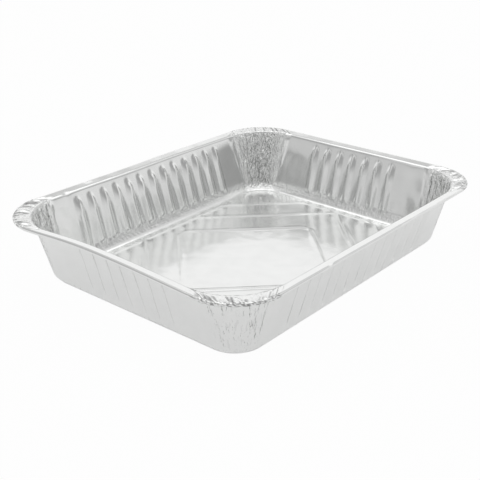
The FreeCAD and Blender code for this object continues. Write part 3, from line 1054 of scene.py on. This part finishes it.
@dataclass
class Studio:
    """Pale floor, soft light and the camera.

    The camera's position is in millimetres, the floor's reach and drop are in
    metres. Sky and dusk are stops of height, 0 for straight down and 1 for
    straight up, with a level for each.
    """

    position: Triple = (-519.69, -434.49, 318.57)
    right: Triple = (0.63745, -0.77050, 0.0004)
    up: Triple = (0.31467, 0.26081, 0.91267)
    forward: Triple = (0.70331, 0.58165, -0.40870)
    lens: float = 66.64
    shift_x: float = -0.0315
    floor_colour: Triple = (0.93, 0.93, 0.93)
    floor_reach: float = 3.0
    floor_drop: float = 0.0002
    floor_white: Triple = (0.97, 0.5, 0.5)
    sky: Stops = ((0.0, 1.0), (0.5, 1.0), (0.575, 0.64), (0.7, 0.62), (0.82, 0.98), (1.0, 1.0))
    dusk: Stops = ((0.0, 0.3), (0.15, 0.38), (0.3, 1.0), (0.46, 1.0), (0.75, 0.0), (1.0, 0.0))
    left_dusk: Stops = ((0.0, 0.5), (0.46, 0.8), (0.75, 0.0), (1.0, 0.0))
    behind: float = 0.62
    right_lift: float = 0.65
    ambient: float = 0.62
    lamps: tuple[Lamp, ...] = (Lamp("overhead", (0.45, 0.37, 1.5), 1.2, 1.5),
                               Lamp("side", (-1.5, 0.6, 1.1), 0.9, 0.7))

    def camera(self) -> None:
        """Places the camera."""
        data = bpy.data.cameras.new("camera")
        data.sensor_width = 36.0
        data.lens = self.lens
        data.shift_x = self.shift_x
        data.clip_start, data.clip_end = 0.01, 50.0
        seat = bpy.data.objects.new("camera", data)
        axes = np.array([self.right, self.up, -np.array(self.forward)]).T
        turned = Matrix(axes.tolist()).to_4x4()
        seat.matrix_world = Matrix.Translation([v * MM for v in self.position]) @ turned
        bpy.context.scene.collection.objects.link(seat)
        bpy.context.scene.camera = seat

    def floor(self) -> None:
        """A wide plain floor that keeps a soft shadow and is clear from beneath."""
        mesh = bpy.data.meshes.new("floor")
        r, low = self.floor_reach, -self.floor_drop
        corners = [(-r, -r, low), (r, -r, low), (r, r, low), (-r, r, low)]
        mesh.from_pydata(corners, [], [(0, 1, 2, 3)])
        ground = bpy.data.objects.new("floor", mesh)
        bpy.context.scene.collection.objects.link(ground)
        material = bpy.data.materials.new("pale_floor")
        material.use_nodes = True
        graph = Graph(material.node_tree)
        plain = graph.add("ShaderNodeBsdfDiffuse", {}, {"Color": (*self.floor_colour, 1.0)})
        glow = graph.add("ShaderNodeEmission", {}, {"Color": (1, 1, 1, 1), "Strength": 1.0})
        both = graph.add("ShaderNodeMixShader", {}, {
            0: self._white(graph), 1: plain.outputs[0], 2: glow.outputs[0]})
        clear = graph.add("ShaderNodeBsdfTransparent", {}, {})
        back = graph.add("ShaderNodeNewGeometry", {}, {}).outputs["Backfacing"]
        faced = graph.add("ShaderNodeMixShader", {}, {
            0: back, 1: both.outputs[0], 2: clear.outputs[0]})
        graph.add("ShaderNodeOutputMaterial", {}, {0: faced.outputs[0]})
        mesh.materials.append(material)

    def _white(self, graph: Graph) -> Value:
        """Share of white: most for the camera, less in a reflection or through glass."""
        path = graph.add("ShaderNodeLightPath", {}, {})
        names = ("Is Camera Ray", "Is Glossy Ray", "Is Transmission Ray")
        rays = [Value(graph, path.outputs[name]) * share
                for name, share in zip(names, self.floor_white)]
        return rays[0].maximum(rays[1]).maximum(rays[2])

    def world(self) -> None:
        """White surroundings with a dimmer band overhead and dusk behind the camera.

        Formula: a reflection sees the sky's ramp of height, lifted towards
        white on the camera's right, times one less the dusk. The dusk grows
        from ahead of the camera to behind it, and is a ramp of height, or on
        the left the larger of two. Other light is even and dimmer.
        """
        world = bpy.data.worlds.new("surroundings")
        bpy.context.scene.world = world
        world.use_nodes = True
        graph = Graph(world.node_tree)
        spot = graph.add("ShaderNodeTexCoord", {}, {})
        parts = graph.add("ShaderNodeSeparateXYZ", {}, {0: spot.outputs["Generated"]})
        x, y, z = [Value(graph, parts.outputs[i]) for i in range(3)]
        overall, dusk, left = [graph.ramp(z, stops) for stops in
                               (self.sky, self.dusk, self.left_dusk)]
        ahead = x * 0.77 + y * 0.64
        rear = 1.0 - graph.over(ahead, -0.2, 0.75)
        on_left = graph.over(y, -0.35, 0.2)
        on_right = 1.0 - graph.over(y, -0.3, 0.1)
        dim = 1.0 - rear * dusk.maximum(left * on_left) * self.behind
        overall = overall + (1.0 - overall) * on_right * self.right_lift
        path = graph.add("ShaderNodeLightPath", {}, {})
        camera = Value(graph, path.outputs["Is Camera Ray"])
        mirror = Value(graph, path.outputs["Is Glossy Ray"])
        strength = self.ambient + camera * (1.0 - self.ambient)
        strength = strength + mirror * (overall * dim - self.ambient)
        sky = graph.add("ShaderNodeBackground", {}, {"Color": (1, 1, 1, 1), "Strength": strength})
        graph.add("ShaderNodeOutputWorld", {}, {0: sky.outputs[0]})

    @staticmethod
    def _hang(lamp: Lamp) -> None:
        """Hangs a lamp at its place and turns it to the tray."""
        data = bpy.data.lights.new(lamp.name, "AREA")
        data.energy = lamp.power
        data.size = lamp.side
        fitting = bpy.data.objects.new(lamp.name, data)
        z = np.array(lamp.place) / np.linalg.norm(lamp.place)
        x = np.cross([0.0, 1.0, 0.0], z)
        x /= np.linalg.norm(x)
        axes = np.array([x, np.cross(z, x), z]).T
        fitting.matrix_world = Matrix.Translation(lamp.place) @ Matrix(axes.tolist()).to_4x4()
        bpy.context.scene.collection.objects.link(fitting)

    def build(self) -> None:
        """Sets up everything round the tray."""
        self.floor()
        self.world()
        for lamp in self.lamps:
            self._hang(lamp)
        self.camera()
        bpy.context.scene.view_settings.view_transform = "Standard"


def main() -> None:
    """Builds the tray and its studio, and reports each piece."""
    logging.basicConfig(level=logging.INFO, format="%(message)s")
    piece = FoilTray().build()
    log.info("%s: %d vertices, %d faces", piece.name, len(piece.data.vertices),
             len(piece.data.polygons))
    Studio().build()
    log.info("studio: floor, surroundings, lamps and camera")


if __name__ == "__main__":
    main()
